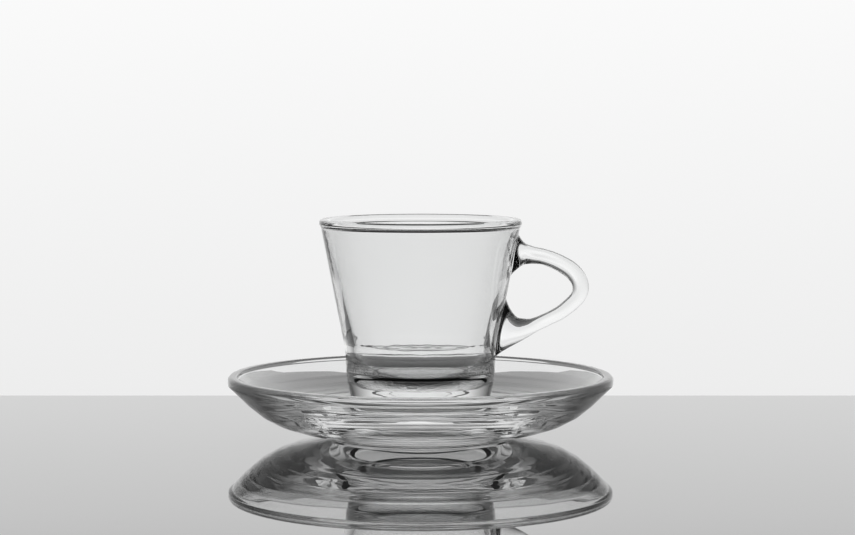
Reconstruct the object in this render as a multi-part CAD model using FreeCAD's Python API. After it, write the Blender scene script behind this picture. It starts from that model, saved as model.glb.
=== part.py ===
import FreeCAD, Part
import math
import os

# A small espresso cup on its saucer, both of clear pressed glass. Sizes are in millimetres.
# The saucer stands on z = 0 about the z axis and the handle of the cup points along +X.

# ---- saucer
saucer_radius = 60.0           # outermost line of the edge
saucer_height = 19.4           # crest of the edge above the table
saucer_edge_depth = 2.6        # how far the upright side of the edge reaches down
saucer_edge_width = 2.6        # breadth of the edge
saucer_edge_rounding = 1.4
saucer_edge_softness = 1.0     # rounding where the edge runs into the two faces
bowl_knee_radius = 48.6        # the underside is one long arc round this corner
bowl_knee_height = 5.3
bowl_sweep = 45.0
dish_height = 10.2             # flat floor of the dish, which the cup stands on
dish_corner_radius = 46.8      # the floor sweeps up to the edge in an arc round this corner
dish_sweep = 30.0
foot_radius = 28.6             # outside of the ring the saucer stands on
foot_width = 2.6               # breadth of that ring
foot_rounding = 0.5
foot_step = 0.4                # how far the bowl stands off the table beside the ring
recess_height = 2.2            # hollow under the saucer, inside the ring
recess_slope = 1.6             # how far the side of the hollow leans in
recess_rounding = 1.4

# ---- cup; heights are above the cup's own foot
cup_height = 57.8
rim_radius = 31.5              # outermost line of the beaded rim
rim_bead_height = 3.6          # how far the bead reaches down the wall
rim_bead_step = 0.5            # how far it stands out of the wall
rim_thickness = 2.5
rim_rounding = 1.0
bead_rounding = 0.5            # softens both sides of the step under the bead
waist_height = 17.9            # where the thick base ends and the wall starts to flare
waist_radius = 23.7
waist_sweep = 12.0
belly_radius = 22.8            # the thick base swells a little on its way to the foot
belly_height = 6.6
belly_sweep = 20.0
base_radius = 21.5             # outside of the foot
base_rounding = 2.4
cavity_radius = 20.5           # inside of the wall where the sweep to the floor begins
cavity_height = 17.2
cavity_sweep = 60.0
floor_radius = 19.0            # corner of the inside floor
floor_rise = 0.4               # the floor dishes by this much
floor_height = 6.9             # inside floor of the cup
floor_rounding = 5.4
base_ring_width = 4.1          # breadth of the foot, roundings included
punt_height = 2.4              # shallow hollow inside the foot
punt_rounding = 1.0
punt_lean = 1.0                # how far the side of the hollow leans in
punt_edge = 0.6                # rounding on the inner side of the foot
bead_bottom = cup_height - rim_bead_height
wall_top = rim_radius - rim_bead_step

# ---- handle; a station is (off, up, thick, broad, heading)
# off is how far the middle of the section stands off the wall and up how high it sits, in
# per cent of the height of the cup. thick is its size in the plane of the handle, broad its
# size along Y and heading the way the handle runs there, in degrees from +X.
handle_stations = [
    (-1.37, 82.4, 9.8, 9.2, -10.0),
    (0.71, 81.7, 8.4, 8.4, -8.0),
    (2.67, 81.1, 6.6, 7.5, -6.0),
    (5.33, 80.6, 5.4, 7.0, -7.0),
    (8.97, 79.4, 5.0, 6.8, -13.0),
    (13.15, 77.0, 5.1, 6.8, -23.0),
    (17.83, 72.8, 5.3, 6.8, -39.0),
    (21.00, 68.0, 5.2, 6.8, -61.0),
    (22.48, 63.0, 5.1, 6.8, -86.0),
    (22.32, 58.3, 4.8, 6.8, -114.0),
    (20.71, 54.2, 4.6, 6.8, -135.0),
    (17.59, 49.1, 4.3, 6.8, -149.0),
    (13.45, 45.2, 4.1, 6.8, -156.0),
    (9.89, 42.2, 4.7, 7.0, -160.0),
    (6.77, 40.7, 6.8, 7.5, -168.0),
    (3.87, 39.8, 10.0, 8.4, -179.0),
    (1.07, 39.8, 13.4, 9.2, -188.0),
    (-1.91, 40.5, 15.2, 9.6, -191.0),
]
handle_points = 16             # points round one section of the handle
joint_fillet = 1.5             # rounding where the handle meets the wall
joint_nearest = 20.0           # the joints lie between these two distances out
joint_farthest = 36.0
joint_narrowest = 0.5


def rounded_outline(corners):
    """Edges of an outline in the XZ plane; a corner is (radius, height, rounding)."""
    points = [FreeCAD.Vector(corner[0], 0, corner[1]) for corner in corners]
    edges = []
    start = points[0]
    for index in range(1, len(corners) - 1):
        here = points[index]
        back = (points[index - 1] - here).normalize()
        ahead = (points[index + 1] - here).normalize()
        rounding = corners[index][2]
        if rounding > 0:
            half_angle = back.getAngle(ahead) / 2
            reach = rounding / math.tan(half_angle)
            first = here + back * reach
            last = here + ahead * reach
            inward = (back + ahead).normalize()
            top = here + inward * (rounding / math.sin(half_angle) - rounding)
        else:
            first = last = here
        edges.append(Part.LineSegment(start, first).toShape())
        if rounding > 0:
            edges.append(Part.Arc(first, top, last).toShape())
        start = last
    edges.append(Part.LineSegment(start, points[-1]).toShape())
    return edges


def turned(corners):
    """Solid of revolution about Z; the outline starts and ends on the axis."""
    edges = rounded_outline(corners)
    low = FreeCAD.Vector(0, 0, corners[0][1])
    high = FreeCAD.Vector(0, 0, corners[-1][1])
    edges.append(Part.LineSegment(high, low).toShape())
    face = Part.Face(Part.Wire(edges))
    solid = face.revolve(FreeCAD.Vector(0, 0, 0), FreeCAD.Vector(0, 0, 1), 360)
    solid.rotate(FreeCAD.Vector(0, 0, 0), FreeCAD.Vector(0, 0, 1), 180)
    return solid


def make_saucer():
    """Shallow dish on a ring foot, with a round edge and a hollow underneath."""
    ring_inside = foot_radius - foot_width
    edge_inside = saucer_radius - saucer_edge_width
    return turned([
        (0, recess_height, 0),
        (ring_inside - recess_slope, recess_height, recess_rounding),
        (ring_inside, 0, foot_rounding),
        (foot_radius, 0, foot_rounding),
        (foot_radius + foot_step * 2, foot_step, foot_step),
        (bowl_knee_radius, bowl_knee_height, bowl_sweep),
        (saucer_radius, saucer_height - saucer_edge_depth, saucer_edge_softness),
        (saucer_radius, saucer_height, saucer_edge_rounding),
        (edge_inside, saucer_height, saucer_edge_softness),
        (dish_corner_radius, dish_height, dish_sweep),
        (0, dish_height, 0),
    ])


def make_cup_body():
    """Open tapering cup: beaded rim, thick base over a hollow foot, swept inside floor."""
    mouth_radius = rim_radius - rim_thickness
    punt_radius = base_radius - base_ring_width
    return turned([
        (0, punt_height, 0),
        (punt_radius - punt_lean, punt_height, punt_rounding),
        (punt_radius, 0, punt_edge),
        (base_radius, 0, base_rounding),
        (belly_radius, belly_height, belly_sweep),
        (waist_radius, waist_height, waist_sweep),
        (wall_top, bead_bottom, bead_rounding),
        (rim_radius, bead_bottom + rim_bead_step, bead_rounding),
        (rim_radius, cup_height, rim_rounding),
        (mouth_radius, cup_height, rim_rounding),
        (cavity_radius, cavity_height, cavity_sweep),
        (floor_radius, floor_height + floor_rise, floor_rounding),
        (0, floor_height, 0),
    ])


def wall_radius(height):
    """Outside of the flaring wall at a height above the foot."""
    share = (height - waist_height) / (bead_bottom - waist_height)
    return waist_radius + (wall_top - waist_radius) * share


def handle_section(off, up, thick, broad, heading):
    """Closed oval wire square to the run of the handle."""
    angle = math.radians(heading)
    height = cup_height * up / 100
    across = FreeCAD.Vector(-math.sin(angle), 0, math.cos(angle))
    aside = FreeCAD.Vector(0, 1, 0)
    middle = FreeCAD.Vector(wall_radius(height) + off, 0, height)
    points = []
    for index in range(handle_points):
        turn = 2 * math.pi * index / handle_points
        offset = across * (math.cos(turn) * thick / 2) + aside * (math.sin(turn) * broad / 2)
        points.append(middle + offset)
    curve = Part.BSplineCurve()
    curve.interpolate(Points=points, PeriodicFlag=True)
    return Part.Wire(curve.toShape())


def make_handle():
    """Loop handle lofted through its sections, flaring at both roots."""
    return Part.makeLoft([handle_section(*station) for station in handle_stations], True)


def joint_edges(shape):
    """Edges where the two roots of the handle run out on the wall."""
    found = []
    for edge in shape.Edges:
        box = edge.BoundBox
        crosses_handle = box.YLength > joint_narrowest
        if crosses_handle and box.XMin > joint_nearest and box.XMax < joint_farthest:
            found.append(edge)
    return found


def make_cup():
    """Body and handle as one piece of glass, rounded where they meet."""
    joined = make_cup_body().fuse(make_handle()).Solids[0]
    cup = joined.makeFillet(joint_fillet, joint_edges(joined)).Solids[0]
    cup.translate(FreeCAD.Vector(0, 0, dish_height))
    return cup


os.makedirs("parts", exist_ok=True)
make_cup().exportStep("parts/cup.step")
make_saucer().exportStep("parts/saucer.step")
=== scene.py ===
import math
import bpy
import bmesh
import numpy as np
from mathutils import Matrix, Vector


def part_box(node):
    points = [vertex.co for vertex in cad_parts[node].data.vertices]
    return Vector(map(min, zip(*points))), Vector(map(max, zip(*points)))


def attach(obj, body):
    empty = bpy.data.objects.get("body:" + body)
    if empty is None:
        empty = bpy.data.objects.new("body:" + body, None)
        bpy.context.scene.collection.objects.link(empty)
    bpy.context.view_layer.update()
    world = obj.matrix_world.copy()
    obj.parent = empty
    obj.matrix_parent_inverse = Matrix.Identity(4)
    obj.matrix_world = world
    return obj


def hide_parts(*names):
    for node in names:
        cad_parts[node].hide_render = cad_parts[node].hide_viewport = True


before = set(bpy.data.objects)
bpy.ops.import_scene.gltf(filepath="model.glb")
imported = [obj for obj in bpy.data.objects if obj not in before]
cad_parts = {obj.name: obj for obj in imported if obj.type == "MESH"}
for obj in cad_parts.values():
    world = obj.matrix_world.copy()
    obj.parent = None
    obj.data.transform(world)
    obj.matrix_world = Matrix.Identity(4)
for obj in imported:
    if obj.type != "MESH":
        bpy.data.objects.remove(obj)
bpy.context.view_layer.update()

# A clear glass espresso cup on its saucer. Lengths in the dictionaries are millimetres,
# meshes are in metres, and every piece stands where its solid stands.
mm = 0.001
touch = 1e-6                                # millimetres, nearer than this counts as touching
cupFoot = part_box("cup")[0][2] / mm          # height of the cup's foot above the table
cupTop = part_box("cup")[1][2] / mm
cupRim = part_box("cup")[1][1] / mm           # radius of the rim
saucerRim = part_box("saucer")[1][0] / mm
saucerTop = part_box("saucer")[1][2] / mm
print("frame loaded, cup foot at", round(cupFoot, 2), "mm")

outlineSteps = {
    "turn": 0.16,               # radians of an arc between two points, or a little more
    "fewest": 3,                # points of an arc
    "clear": 0.3,               # share of a step that an added stop keeps from the others
    "same": 0.001,              # stops nearer than this are one
}


# Distance from the start of a line to each of its points.
def lengthAlong(line):
    return np.concatenate([[0], np.cumsum(np.linalg.norm(np.diff(line, axis=0), axis=1))])


# Radius and height of a line at given distances from its start, by straight interpolation.
def pointAt(line, distance):
    along = lengthAlong(line)
    return np.interp(distance, along, line[:, 0]), np.interp(distance, along, line[:, 1])


# Outline of straight runs whose corners are rounded: each corner (radius, height, rounding)
# becomes the arc of that rounding that touches both runs. Returns the line and the distances
# along it where the mesh gets a row, which are its points and stops no further apart than maxStep.
def roundedOutline(corners, maxStep):
    table = np.array(corners, float)
    places, roundings = table[:, :2], table[:, 2]
    points = [places[:1]]
    for index in range(1, len(table) - 1):
        here, rounding = places[index], roundings[index]
        if rounding <= 0:
            points.append(here[None])
            continue
        u = (places[index - 1] - here) / np.linalg.norm(places[index - 1] - here)
        v = (places[index + 1] - here) / np.linalg.norm(places[index + 1] - here)
        half = math.acos(np.clip(u @ v, -1, 1)) / 2
        centre = here + (u + v) / np.linalg.norm(u + v) * rounding / math.sin(half)
        first = here + u * rounding / math.tan(half) - centre
        last = here + v * rounding / math.tan(half) - centre
        start = math.atan2(first[1], first[0])
        sweep = (math.atan2(last[1], last[0]) - start + math.pi) % (2 * math.pi) - math.pi
        count = max(outlineSteps["fewest"], int(abs(sweep) / outlineSteps["turn"]) + 1)
        turn = start + sweep * np.linspace(0, 1, count)
        points.append(centre + rounding * np.stack([np.cos(turn), np.sin(turn)], 1))
    points.append(places[-1:])
    line = np.concatenate(points)
    along = lengthAlong(line)
    fill = np.arange(maxStep, along[-1], maxStep)
    gap = np.abs(fill[:, None] - along[None]).min(1)
    stops = np.sort(np.concatenate([along, fill[gap > maxStep * outlineSteps["clear"]]]))
    apart = np.concatenate([[True], np.diff(stops) > outlineSteps["same"]])
    return line, stops[apart]


# Grid turned about the z axis: row i, column j is (r cos a, r sin a, z) at a = 2 pi j / columns.
# The first and last rows lie on the axis and are one vertex each. Returns the vertices, the index
# of every other grid point, the faces between rows as (row, column) quads, and the two caps.
def turnedGrid(radius, height, columns):
    radius, height, bottom, top = radius[1:-1, None], height[1:-1, None], height[0], height[-1]
    angle = 2 * np.pi * np.arange(columns) / columns
    ring = np.stack([radius * np.cos(angle), radius * np.sin(angle),
                     np.broadcast_to(height, (len(height), columns))], -1)
    vertices = np.concatenate([[[0, 0, bottom]], ring.reshape(-1, 3), [[0, 0, top]]])
    index = 1 + np.arange(len(height) * columns).reshape(-1, columns)
    across = np.roll(index, -1, 1)
    quads = np.stack([index[:-1], across[:-1], across[1:], index[1:]], -1)
    lowCap = np.stack([np.zeros(columns, int), across[0], index[0]], -1)
    highCap = np.stack([np.full(columns, len(vertices) - 1), index[-1], across[-1]], -1)
    return vertices, index, quads, [lowCap, highCap]


# Mesh object from vertices in millimetres and arrays of faces; its normals are made to point out.
def makePiece(name, vertices, faceSets, material, smooth=True):
    mesh = bpy.data.meshes.new(name)
    faces = [face for faceSet in faceSets for face in np.asarray(faceSet).tolist()]
    mesh.from_pydata((np.asarray(vertices) * mm).tolist(), [], faces)
    work = bmesh.new()
    work.from_mesh(mesh)
    bmesh.ops.recalc_face_normals(work, faces=work.faces)
    work.to_mesh(mesh)
    work.free()
    mesh.polygons.foreach_set("use_smooth", np.full(len(mesh.polygons), smooth))
    mesh.materials.append(material)
    piece = bpy.data.objects.new(name, mesh)
    bpy.context.scene.collection.objects.link(piece)
    return piece


# A value in a node tree: arithmetic on it adds Math nodes.
class Value:
    def __init__(self, tree, socket):
        self.tree = tree
        self.socket = socket

    def __add__(self, other):
        return self.tree.maths("ADD", self, other)

    def __radd__(self, other):
        return self.tree.maths("ADD", other, self)

    def __mul__(self, other):
        return self.tree.maths("MULTIPLY", self, other)

    def __rmul__(self, other):
        return self.tree.maths("MULTIPLY", other, self)

    def __pow__(self, other):
        return self.tree.maths("POWER", self, other)

    def __rpow__(self, other):
        return self.tree.maths("POWER", other, self)


# A node tree that is filled by one method: type, settings, which are set first, then sockets.
class Tree:
    def __init__(self, owner):
        owner.use_nodes = True
        self.nodes = owner.node_tree.nodes
        self.links = owner.node_tree.links
        self.nodes.clear()

    def add(self, kind, settings={}, sockets={}, output=0):
        node = self.nodes.new(kind)
        for name, setting in settings.items():
            if name == "stops":
                ramp = node.color_ramp
                while len(ramp.elements) < len(setting):
                    ramp.elements.new(0.5)
                for stop, (place, grey) in zip(ramp.elements, setting):
                    stop.position = place
                    stop.color = (grey, grey, grey, 1)
            else:
                setattr(node, name, setting)
        for name, value in sockets.items():
            if isinstance(value, Value):
                self.links.new(value.socket, node.inputs[name])
            elif value is not None:
                node.inputs[name].default_value = value
        return Value(self, node.outputs[output]) if node.outputs else None

    # Math node on one or two values.
    def maths(self, operation, first, second=None):
        return self.add("ShaderNodeMath", {"operation": operation}, {0: first, 1: second})

    # Noise over a place, its scale per metre.
    def noise(self, place, scale, detail):
        return self.add("ShaderNodeTexNoise", {}, {"Vector": place, "Scale": scale, "Detail": detail})

    # Colour between two others by a share.
    def blend(self, share, first, second):
        return self.add("ShaderNodeMix", {"data_type": "RGBA"}, {0: share, 6: first, 7: second}, output=2)

    # The three axes of a vector as values.
    def axes(self, vector):
        node = self.add("ShaderNodeSeparateXYZ", {}, {"Vector": vector}).socket.node
        return [Value(self, output) for output in node.outputs]

    # Straight runs through (input, output) pairs, by a colour ramp over the whole range.
    def curve(self, value, pairs):
        low, high = pairs[0][0], pairs[-1][0]
        share = self.add("ShaderNodeMapRange", {}, {"Value": value, "From Min": low, "From Max": high})
        stops = [((place - low) / (high - low), grey) for place, grey in pairs]
        return self.add("ShaderNodeValToRGB", {"stops": stops}, {"Fac": share})


glassLook = {                               # scales are per metre
    "ior": 1.49,
    "tintThin": (0.999, 1.0, 1.0, 1),       # colourless, with a breath of grey in places
    "tintThick": (0.984, 0.992, 0.990, 1),
    "cloudScale": 38.0, "cloudDetail": 2.0,
    "polish": 0.0,                          # roughness of the fire-polished skin
    "haze": 0.012,                          # roughness added in faint patches left by the mould
    "hazeScale": 160.0, "hazeDetail": 3.0,
    "hazeFrom": 0.62, "hazeFull": 0.8,      # where a patch starts and where it is full
    "waveScale": 210.0, "waveDetail": 1.0,  # waves of the pressed surface
    "waveDepth": 0.000025,                  # metres
    "cupWaves": 1.0, "saucerWaves": 0.2,    # strength of the waves on each piece
}

stippleLook = {
    "radius": 19.0, "top": 2.4,             # it reaches this far out and up from the cup's foot
    "scale": 900.0, "detail": 2.0,
    "depth": 28.0,                          # in depths of the waves
}


# Stipple of the mould on the underside of the base: relief + mask * noise * depth, the mask being
# 1 where the point is nearer to the axis than radius and lower than top.
def baseStipple(tree, place, relief):
    x, y, z = tree.axes(place)
    radius = (x * x + y * y) ** 0.5
    near = tree.maths("LESS_THAN", radius, stippleLook["radius"] * mm)
    low = tree.maths("LESS_THAN", z, (cupFoot + stippleLook["top"]) * mm)
    speck = tree.noise(place, stippleLook["scale"], stippleLook["detail"])
    return relief + near * low * speck * stippleLook["depth"]


# Clear pressed glass. Tint = blend of two near-whites by a slow cloud; roughness = polish + haze
# times a finer cloud; relief = shallow waves of the mould, with a stipple on it where one is given.
def pressedGlass(name, waves, stipple=None):
    look = glassLook
    material = bpy.data.materials.new(name)
    tree = Tree(material)
    place = tree.add("ShaderNodeTexCoord", output=3)
    cloud = tree.noise(place, look["cloudScale"], look["cloudDetail"])
    tint = tree.blend(cloud, look["tintThin"], look["tintThick"])
    mould = tree.noise(place, look["hazeScale"], look["hazeDetail"])
    patch = tree.add("ShaderNodeMapRange", {}, {
        "Value": mould, "From Min": look["hazeFrom"], "From Max": look["hazeFull"]})
    roughness = look["polish"] + patch * look["haze"]
    relief = tree.noise(place, look["waveScale"], look["waveDetail"])
    if stipple:
        relief = stipple(tree, place, relief)
    bump = tree.add("ShaderNodeBump", {}, {
        "Strength": waves, "Distance": look["waveDepth"], "Height": relief})
    surface = tree.add("ShaderNodeBsdfPrincipled", {}, {
        "Base Color": tint, "Roughness": roughness, "IOR": look["ior"],
        "Transmission Weight": 1.0, "Normal": bump})
    tree.add("ShaderNodeOutputMaterial", {}, {"Surface": surface})
    return material


# Heights are above the cup's foot. The bead, the lip and the neck are measured down from the
# cup's top and inwards from its rim.
cupShape = {
    "puntHeight": 1.75, "puntDome": -0.18,      # hollow under the base
    "puntRadius": 17.45, "puntLean": 0.8, "puntRounding": 0.7, "puntEdge": 0.5,
    "footRadius": 21.35, "footRounding": 2.4,
    "bellyRadius": 22.9, "bellyHeight": 6.8, "bellySweep": 25.0,
    "waistRadius": 23.57, "waistHeight": 17.28, "waistSweep": 12.0,
    "beadHeight": 2.8, "beadStep": 0.6, "beadSlope": 1.2, "beadRounding": 0.3, "beadHollow": 0.2,
    "mouthThickness": 2.63, "rimRounding": 1.22,
    "lipThickness": 2.65, "lipDepth": 1.4, "lipRounding": 0.3,
    "neckThickness": 1.5, "neckDepth": 2.65, "neckRounding": 0.3,
    "middleRadius": 25.81, "middleHeight": 39.8, "middleSweep": 60.0,
    "cavityRadius": 20.8, "cavityHeight": 19.0, "cavitySweep": 8.0,
    "floorRadius": 19.6, "floorHeight": 5.6, "floorRise": 0.8, "floorRounding": 10.6,
    "columns": 192, "step": 0.8,
}

handleShape = {
    # out from the axis, up from the foot, thick, broad, heading in degrees and taper of the
    # sections clear of the wall; a taper below 0 makes a section narrower on the finger's side
    "stations": [
        (33.0, 46.7, 6.2, 7.3, -6.0, -0.60),
        (35.3, 46.4, 5.3, 7.0, -7.5, -0.65),
        (38.3, 45.9, 5.0, 6.8, -13.0, -0.60),
        (42.2, 44.5, 5.1, 6.8, -23.0, -0.50),
        (46.4, 42.1, 5.3, 6.8, -39.0, -0.40),
        (49.0, 39.3, 5.2, 6.8, -61.0, -0.28),
        (49.9, 36.4, 5.1, 6.8, -86.0, -0.20),
        (49.2, 33.7, 4.8, 6.8, -114.0, -0.15),
        (47.1, 31.3, 4.6, 6.8, -135.0, -0.12),
        (43.4, 28.4, 4.3, 6.8, -149.0, -0.12),
        (38.8, 26.1, 4.1, 6.8, -156.0, -0.12),
        (34.9, 24.4, 4.7, 7.0, -160.0, -0.10),
        (31.6, 23.5, 6.8, 7.5, -168.0, -0.10),
    ],
    # middle height, half height and half width of the mouth where the flare leaves the wall, and
    # half height of the patch of wall that is remade round it
    "roots": [(46.5, 6.8, 5.4, 7.4), (23.9, 9.4, 5.4, 10.8)],
    "wallPull": 0.35, "armPull": 0.8,           # how long the flare keeps to the wall and to the arm
    "patchRows": 20, "patchColumns": 16, "patchClear": 0.2,
    "wallRings": 5, "flareRings": 14, "armRings": 90,
    "probe": 0.01,                              # small step that a slope is measured over
}


# Corners of the cup's outline from the middle of its underside round the foot, wall, rim and
# inside to the middle of the floor.
def cupCorners(shape):
    bead = cupTop - shape["beadHeight"]
    floor = cupFoot + shape["floorHeight"]
    return [
        (0, cupFoot + shape["puntHeight"] + shape["puntDome"], 0),
        (shape["puntRadius"] - shape["puntLean"], cupFoot + shape["puntHeight"], shape["puntRounding"]),
        (shape["puntRadius"], cupFoot, shape["puntEdge"]),
        (shape["footRadius"], cupFoot, shape["footRounding"]),
        (shape["bellyRadius"], cupFoot + shape["bellyHeight"], shape["bellySweep"]),
        (shape["waistRadius"], cupFoot + shape["waistHeight"], shape["waistSweep"]),
        (cupRim - shape["beadStep"], bead, shape["beadHollow"]),
        (cupRim, bead + shape["beadSlope"], shape["beadRounding"]),
        (cupRim, cupTop, shape["rimRounding"]),
        (cupRim - shape["mouthThickness"], cupTop, shape["rimRounding"]),
        (cupRim - shape["lipThickness"], cupTop - shape["lipDepth"], shape["lipRounding"]),
        (cupRim - shape["neckThickness"], cupTop - shape["neckDepth"], shape["neckRounding"]),
        (shape["middleRadius"], cupFoot + shape["middleHeight"], shape["middleSweep"]),
        (shape["cavityRadius"], cupFoot + shape["cavityHeight"], shape["cavitySweep"]),
        (shape["floorRadius"], floor + shape["floorRise"], shape["floorRounding"]),
        (0, floor, 0),
    ]


# Point of the outline at a distance along it, turned about the z axis by an angle.
def wallPoint(line, distance, angle):
    r, z = pointAt(line, distance)
    return np.stack([r * np.cos(angle), r * np.sin(angle), z], -1)


# Stretch of the wall that each root takes, as distances along the outline: foot of the patch,
# foot, middle and head of the mouth, head of the patch.
def rootStretches(line):
    along = lengthAlong(line)
    footEnd = np.flatnonzero(line[:, 1] < cupFoot + touch)[-1]
    rimStart = np.flatnonzero(line[:, 1] > cupTop - touch)[0]
    outside = slice(footEnd, rimStart + 1)
    stretches = []
    for middle, halfHeight, _, halfPatch in handleShape["roots"]:
        heights = cupFoot + middle + np.array([-halfPatch, -halfHeight, 0, halfHeight, halfPatch])
        stretches.append(np.interp(heights, line[outside, 1], along[outside]))
    return stretches


# Smooth curve through the stations (Catmull-Rom on every column), at positions in station counts.
def stationAt(stations, position):
    table = np.array(stations, float)
    table = np.concatenate([2 * table[:1] - table[1:2], table, 2 * table[-1:] - table[-2:-1]])
    cell = np.clip(np.floor(position).astype(int), 0, len(table) - 4)
    t = (position - cell)[:, None]
    a, b, c, d = table[cell], table[cell + 1], table[cell + 2], table[cell + 3]
    square = 2 * a - 5 * b + 4 * c - d
    cube = 3 * b - a - 3 * c + d
    return 0.5 * (2 * b + (c - a) * t + square * t ** 2 + cube * t ** 3)


# Rings of the arm: middle + across * thick / 2 * sin a + Y * broad / 2 * cos a * (1 - taper * sin a),
# across being square to the heading in the plane of the handle and pointing away from the finger.
def armRings(stations, position, angle):
    out, up, thick, broad, heading, taper = stationAt(stations, position).T[..., None]
    heading = np.radians(heading)
    reach = thick / 2 * np.sin(angle)
    return np.stack([
        out - np.sin(heading) * reach,
        broad / 2 * np.cos(angle) * (1 - taper * np.sin(angle)),
        cupFoot + up + np.cos(heading) * reach], -1)


# Cubic from one ring to the next: leaves the first along its pull and arrives along the second's.
def flareRings(first, firstPull, last, lastPull, share):
    t = share[:, None, None]
    return ((2 * t ** 3 - 3 * t ** 2 + 1) * first + (t ** 3 - 2 * t ** 2 + t) * firstPull
            + (3 * t ** 2 - 2 * t ** 3) * last + (t ** 3 - t ** 2) * lastPull)


# Sleeve of one root. Its rings on the wall are mixed from the edge of the patch to the mouth, an
# oval of half heights and half width at angle a; flare rings lead from there to the arm's ring at
# station end. Cells are the patch's grid points. Returns the edge, the rings and their angles.
def rootSleeve(line, cells, stretch, halfWidth, upward, end):
    handle = handleShape
    rows, columns, probe = handle["patchRows"], handle["patchColumns"], handle["probe"]
    low, under, middle, over, high = stretch
    u, v = np.meshgrid(np.linspace(-1, 1, columns + 1), np.linspace(-1, 1, rows + 1))
    border = np.maximum(np.abs(u), np.abs(v)) == 1
    angle = np.arctan2(upward * v[border], u[border])
    order = np.argsort(angle)
    angle = angle[order]
    edgeDistance = (low + (high - low) * (v + 1) / 2)[border][order]
    edgeTurn = (u * (columns // 2) * 2 * np.pi / cupShape["columns"])[border][order]
    lift = np.sin(angle) * upward
    mouthDistance = middle + np.where(lift > 0, over - middle, middle - under) * lift
    mouthTurn = halfWidth / pointAt(line, middle)[0] * np.cos(angle)
    share = np.linspace(0, 1, handle["wallRings"] + 1)[1:, None]
    flat = wallPoint(line, edgeDistance + (mouthDistance - edgeDistance) * share,
                     edgeTurn + (mouthTurn - edgeTurn) * share)
    mouth = flat[-1]
    near = wallPoint(line, mouthDistance + (middle - mouthDistance) * probe, mouthTurn * (1 - probe))
    wallPull = (near - mouth) / probe * handle["wallPull"]
    inward = probe if end == 0 else -probe
    arm = armRings(handle["stations"], np.array([end, end + inward]), angle)
    armPull = (arm[1] - arm[0]) / probe
    armPull *= (np.linalg.norm(arm[0] - mouth, axis=1).mean() * handle["armPull"]
                / np.linalg.norm(armPull, axis=1).mean())
    share = np.linspace(0, 1, handle["flareRings"] + 1)[1:]
    flare = flareRings(mouth, wallPull, arm[0], armPull, share)
    return cells[border][order], np.concatenate([flat, flare]), angle


# The cup is one closed skin. The turned body loses a patch of wall at each root; the handle's
# sleeve starts on the edge of one patch, narrows on the wall, flares off it into the arm and
# ends the same way on the other patch.
def makeCup(material):
    handle = handleShape
    rows, halfPatch = handle["patchRows"], handle["patchColumns"] // 2
    line, stops = roundedOutline(cupCorners(cupShape), cupShape["step"])
    stretches = rootStretches(line)
    for low, _, _, _, high in stretches:
        stops = stops[(stops < low - handle["patchClear"]) | (stops > high + handle["patchClear"])]
        stops = np.sort(np.concatenate([stops, np.linspace(low, high, rows + 1)]))
    radius, height = pointAt(line, stops)
    vertices, index, quads, caps = turnedGrid(radius, height, cupShape["columns"])
    kept = np.ones(quads.shape[:2], bool)
    column = np.arange(-halfPatch, halfPatch + 1)
    lastStation = len(handle["stations"]) - 1
    sleeves = []
    for stretch, root, upward, end in zip(stretches, handle["roots"], (1, -1), (0, lastStation)):
        start = np.searchsorted(stops, stretch[0] - touch) - 1
        kept[start:start + rows, column[:-1]] = False
        cells = index[start:start + rows + 1][:, column]
        sleeves.append(rootSleeve(line, cells, stretch, root[2], upward, end))
    (highEdge, highRings, angle), (lowEdge, lowRings, _) = sleeves
    position = np.linspace(0, lastStation, handle["armRings"] + 1)[1:-1]
    rings = np.concatenate([highRings, armRings(handle["stations"], position, angle), lowRings[::-1]])
    ringIndex = len(vertices) + np.arange(rings.shape[0] * rings.shape[1]).reshape(rings.shape[:2])
    skin = np.concatenate([highEdge[None], ringIndex, lowEdge[None]])
    across = np.roll(skin, -1, 1)
    sleeveQuads = np.stack([skin[:-1], skin[1:], across[1:], across[:-1]], -1).reshape(-1, 4)
    vertices = np.concatenate([vertices, rings.reshape(-1, 3)])
    return makePiece("cup_glass", vertices, [quads[kept], sleeveQuads, *caps], material)


# Heights are above the table, except the side's, which is above the cup's foot. The edge and the
# lip are measured down from the saucer's top and inwards from its rim.
saucerShape = {
    "recessHeight": 1.9, "recessDome": -0.08, "recessRadius": 22.25, "recessRounding": 2.7,
    "footRadius": 28.5, "footWidth": 3.05, "footRounding": 0.4, "footStep": 0.58,
    "bowlRadius": 48.2, "bowlHeight": 5.03, "bowlSweep": 28.6,
    "edgeDepth": 2.75, "edgeSoftness": 0.9, "edgeRounding": 1.3, "edgeWidth": 2.9,
    "lipRounding": 0.8, "lipDepth": 1.2, "lipSlope": 0.3,
    "sideRadius": 51.1, "sideHeight": 3.4, "sideSweep": 29.8, "dishRadius": 43.8, "dishSweep": 18.2,
    "columns": 360, "step": 0.9,
}


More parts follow.
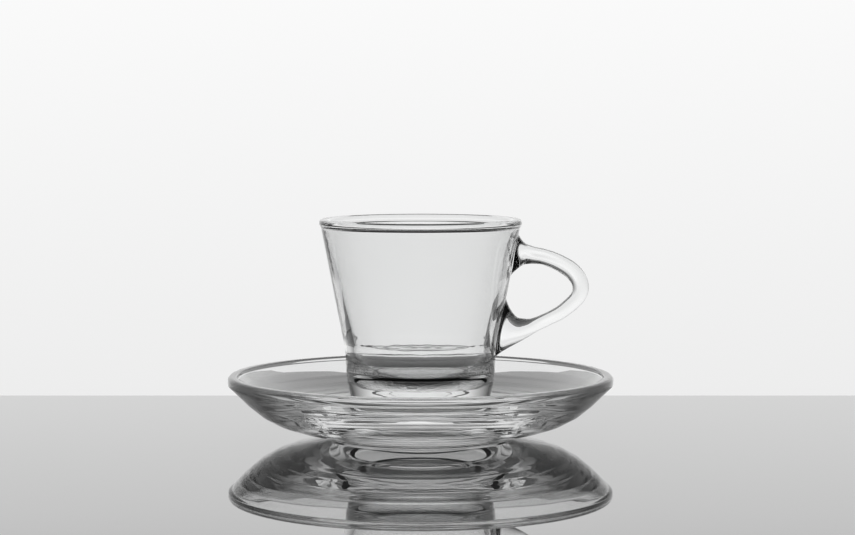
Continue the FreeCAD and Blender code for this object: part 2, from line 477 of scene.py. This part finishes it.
# Corners of the saucer's outline from under its middle out over the foot, up the bowl, round
# the edge and back along the dish to its middle.
def saucerCorners(shape):
    inside = shape["footRadius"] - shape["footWidth"]
    lip = saucerRim - shape["edgeWidth"]
    return [
        (0, shape["recessHeight"] + shape["recessDome"], 0),
        (shape["recessRadius"], shape["recessHeight"], shape["recessRounding"]),
        (inside, 0, shape["footRounding"]),
        (shape["footRadius"], 0, shape["footRounding"]),
        (shape["footRadius"] + shape["footStep"] / 2, shape["footStep"], shape["footStep"] / 2),
        (shape["bowlRadius"], shape["bowlHeight"], shape["bowlSweep"]),
        (saucerRim, saucerTop - shape["edgeDepth"], shape["edgeSoftness"]),
        (saucerRim, saucerTop, shape["edgeRounding"]),
        (lip, saucerTop, shape["lipRounding"]),
        (lip - shape["lipSlope"], saucerTop - shape["lipDepth"], shape["lipRounding"]),
        (shape["sideRadius"], cupFoot + shape["sideHeight"], shape["sideSweep"]),
        (shape["dishRadius"], cupFoot, shape["dishSweep"]),
        (0, cupFoot, 0),
    ]


# The saucer is its outline turned about the z axis.
def makeSaucer(material):
    line, stops = roundedOutline(saucerCorners(saucerShape), saucerShape["step"])
    radius, height = pointAt(line, stops)
    vertices, _, quads, caps = turnedGrid(radius, height, saucerShape["columns"])
    return makePiece("saucer_glass", vertices, [quads.reshape(-1, 4), *caps], material)


cup = makeCup(pressedGlass("clearCupGlass", glassLook["cupWaves"], baseStipple))
saucer = makeSaucer(pressedGlass("clearSaucerGlass", glassLook["saucerWaves"]))
for piece, node in ((cup, "cup"), (saucer, "saucer")):
    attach(piece, "root")
    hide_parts(node)
    print(piece.name, "has", len(piece.data.polygons), "faces")

studio = {
    # brightness by the angle above level, in degrees
    "byHeight": [(-90, 0.84), (-30, 0.84), (-7.3, 0.845), (2.3, 0.955), (10, 1.0), (18, 0.83),
                 (27, 0.92), (38, 0.75), (55, 0.23), (90, 0.06)],
    # its share by the angle away from straight behind the table
    "byTurn": [(0, 1.0), (20, 1.0), (40, 0.51), (65, 0.02), (100, 0.13), (140, 0.26), (180, 0.32)],
}

tableShape = {
    "front": -450, "back": 100.4, "halfWidth": 900, "thickness": 6,
    "darkGrey": 0.187, "lightGrey": 0.253, "cloudScale": 6.0, "cloudDetail": 2.0,
    "ior": 1.5, "roughness": 0.0, "coat": 0.62, "coatRoughness": 0.0,
}


# Studio surround: a bright sheet behind the table that fades towards the sides and overhead.
# Brightness = curve of the angle above level times curve of the angle away from the back.
def makeStudio(shape):
    world = bpy.data.worlds.new("studio")
    bpy.context.scene.world = world
    tree = Tree(world)
    x, y, z = tree.axes(tree.add("ShaderNodeTexCoord"))
    degree = 180 / math.pi
    climb = tree.maths("ARCSINE", z) * degree
    turn = tree.maths("ABSOLUTE", tree.maths("ARCTAN2", x, y)) * degree
    bright = tree.curve(climb, shape["byHeight"]) * tree.curve(turn, shape["byTurn"])
    grey = tree.add("ShaderNodeCombineColor", {}, {0: bright, 1: bright, 2: bright})
    light = tree.add("ShaderNodeBackground", {}, {"Color": grey})
    tree.add("ShaderNodeOutputWorld", {}, {"Surface": light})


# Table top: a glossy slab, one box with its top at height 0, whose grey is a blend of two by a
# broad cloud.
def makeTable(shape):
    material = bpy.data.materials.new("paleGlossTable")
    tree = Tree(material)
    place = tree.add("ShaderNodeTexCoord", output=3)
    cloud = tree.noise(place, shape["cloudScale"], shape["cloudDetail"])
    dark, light = ((grey, grey, grey, 1) for grey in (shape["darkGrey"], shape["lightGrey"]))
    surface = tree.add("ShaderNodeBsdfPrincipled", {}, {
        "Base Color": tree.blend(cloud, dark, light), "Roughness": shape["roughness"], "IOR": shape["ior"],
        "Coat Weight": shape["coat"], "Coat Roughness": shape["coatRoughness"]})
    tree.add("ShaderNodeOutputMaterial", {}, {"Surface": surface})
    front, back = shape["front"], shape["back"]
    x = shape["halfWidth"] * np.array([-1, 1, 1, -1] * 2)
    y = np.array([front, front, back, back] * 2)
    z = -shape["thickness"] * np.repeat([0, 1], 4)
    sides = [(0, 1, 2, 3), (7, 6, 5, 4), (0, 4, 5, 1), (1, 5, 6, 2), (2, 6, 7, 3), (3, 7, 4, 0)]
    makePiece("table", np.stack([x, y, z], -1), [sides], material, smooth=False)


makeStudio(studio)
makeTable(tableShape)
print("studio made")

view = {
    "away": 744.9, "aside": 2.17, "height": 106.8,
    "dip": 0.0724,                              # radians below level
    "lens": 101.08, "sensor": 36,
    "nearest": 0.01,                            # metres
    "bounces": 24, "glossyBounces": 16,         # light crosses many glass faces before it leaves
}
camera = bpy.data.objects.new("camera", bpy.data.cameras.new("camera"))
camera.location = (view["aside"] * mm, -view["away"] * mm, view["height"] * mm)
camera.rotation_euler = (math.pi / 2 - view["dip"], 0, 0)
camera.data.sensor_width = view["sensor"]
camera.data.lens = view["lens"]
camera.data.clip_start = view["nearest"]
scene = bpy.context.scene
scene.collection.objects.link(camera)
scene.camera = camera
scene.view_settings.view_transform = "Standard"
scene.cycles.max_bounces = view["bounces"]
scene.cycles.transmission_bounces = view["bounces"]
scene.cycles.glossy_bounces = view["glossyBounces"]
print("camera placed")

print("done")
